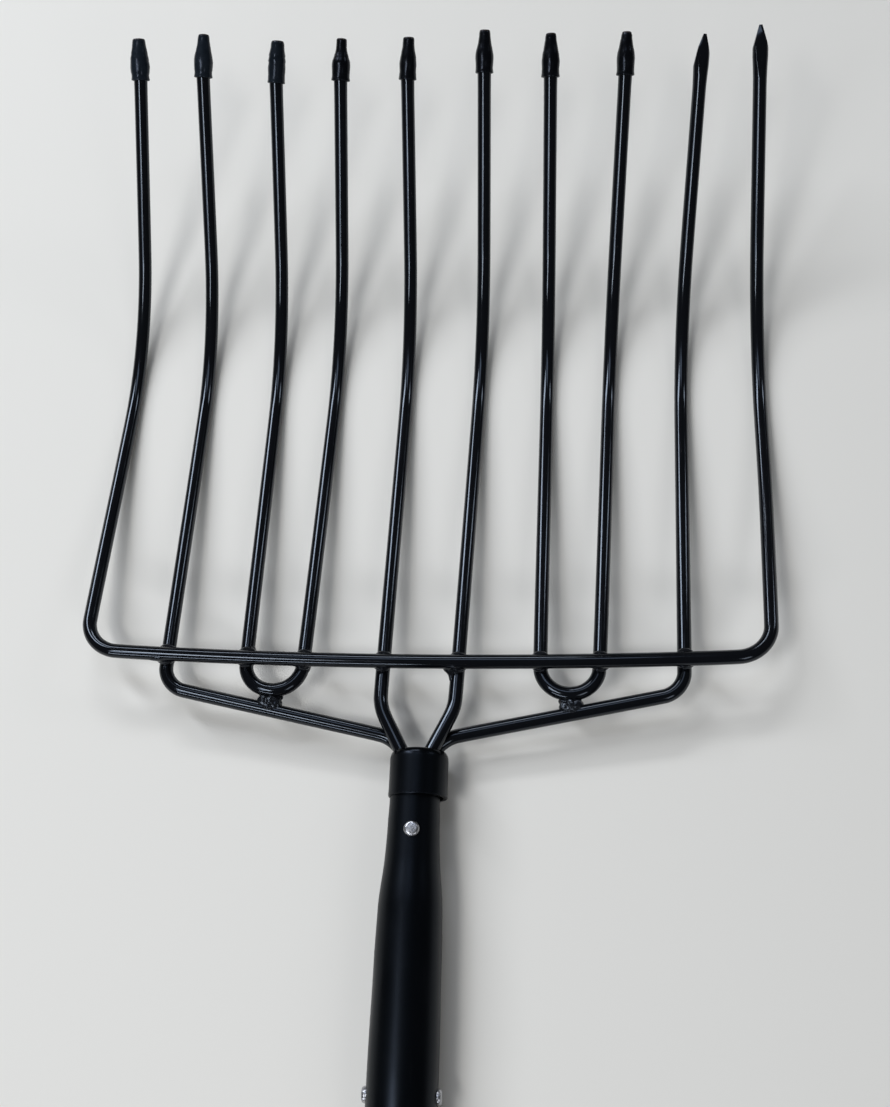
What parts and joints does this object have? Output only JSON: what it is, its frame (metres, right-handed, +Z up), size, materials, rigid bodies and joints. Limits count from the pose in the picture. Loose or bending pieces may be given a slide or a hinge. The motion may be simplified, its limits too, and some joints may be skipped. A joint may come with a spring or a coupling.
{
  "type": "bedding fork",
  "caption": "Long-handled steel fork with a wide row of bent round tines, rubber caps on the points, a crossbar, side braces and a riveted socket.",
  "frame": {"origin": "on the floor, under the middle of the box of the fork lying on its back", "axes": "+Y from the butt of the handle to the points of the tines, along the level handle; +X to the right of the tine row as seen from its hollow side, with the tines forward; +Z up, where the points rise to"},
  "size_m": [0.3925, 1.7286, 0.105],
  "materials": {
    "rod_paint": "gloss black paint on steel rod",
    "weld_paint": "black paint over rippled weld beads",
    "tube_paint": "satin black paint on steel tube",
    "rivet_metal": "bright, set rivet heads",
    "handle_wood": "smooth oiled ash",
    "guard_rubber": "matte black rubber, worn at the top"
  },
  "bodies": {
    "fork": {"outer_bow": "rod_paint", "left_brace_tine": "rod_paint", "right_brace_tine": "rod_paint", "left_loop_tines": "rod_paint", "right_loop_tines": "rod_paint", "left_centre_tine": "rod_paint", "right_centre_tine": "rod_paint", "bar_weld_2": "weld_paint", "bar_weld_3": "weld_paint", "bar_weld_4": "weld_paint", "bar_weld_5": "weld_paint", "bar_weld_6": "weld_paint", "bar_weld_7": "weld_paint", "bar_weld_8": "weld_paint", "bar_weld_9": "weld_paint", "left_loop_weld": "weld_paint", "right_loop_weld": "weld_paint", "collar": "tube_paint", "ferrule": "tube_paint", "front_rivet": "rivet_metal", "cross_rivet": "rivet_metal", "handle": "handle_wood"},
    "guard_1": {"tip_guard_1": "guard_rubber"},
    "guard_2": {"tip_guard_2": "guard_rubber"},
    "guard_3": {"tip_guard_3": "guard_rubber"},
    "guard_4": {"tip_guard_4": "guard_rubber"},
    "guard_5": {"tip_guard_5": "guard_rubber"},
    "guard_6": {"tip_guard_6": "guard_rubber"},
    "guard_7": {"tip_guard_7": "guard_rubber"},
    "guard_8": {"tip_guard_8": "guard_rubber"}
  },
  "joints": [
    {"name": "tip_guard_1_pull", "type": "slide", "parent": "fork", "child": "guard_1", "axis": [0.0486, 0.8279, 0.5588], "range_m": [0, 0.03]},
    {"name": "tip_guard_2_pull", "type": "slide", "parent": "fork", "child": "guard_2", "axis": [0.0149, 0.8288, 0.5594], "range_m": [0, 0.03]},
    {"name": "tip_guard_3_pull", "type": "slide", "parent": "fork", "child": "guard_3", "axis": [0.0185, 0.8287, 0.5594], "range_m": [0, 0.03]},
    {"name": "tip_guard_4_pull", "type": "slide", "parent": "fork", "child": "guard_4", "axis": [0.0302, 0.8285, 0.5592], "range_m": [0, 0.03]},
    {"name": "tip_guard_5_pull", "type": "slide", "parent": "fork", "child": "guard_5", "axis": [0.0106, 0.8288, 0.5594], "range_m": [0, 0.03]},
    {"name": "tip_guard_6_pull", "type": "slide", "parent": "fork", "child": "guard_6", "axis": [0.0166, 0.8287, 0.5594], "range_m": [0, 0.03]},
    {"name": "tip_guard_7_pull", "type": "slide", "parent": "fork", "child": "guard_7", "axis": [0.0118, 0.8288, 0.5594], "range_m": [0, 0.03]},
    {"name": "tip_guard_8_pull", "type": "slide", "parent": "fork", "child": "guard_8", "axis": [0.049, 0.8279, 0.5588], "range_m": [0, 0.03]}
  ]
}
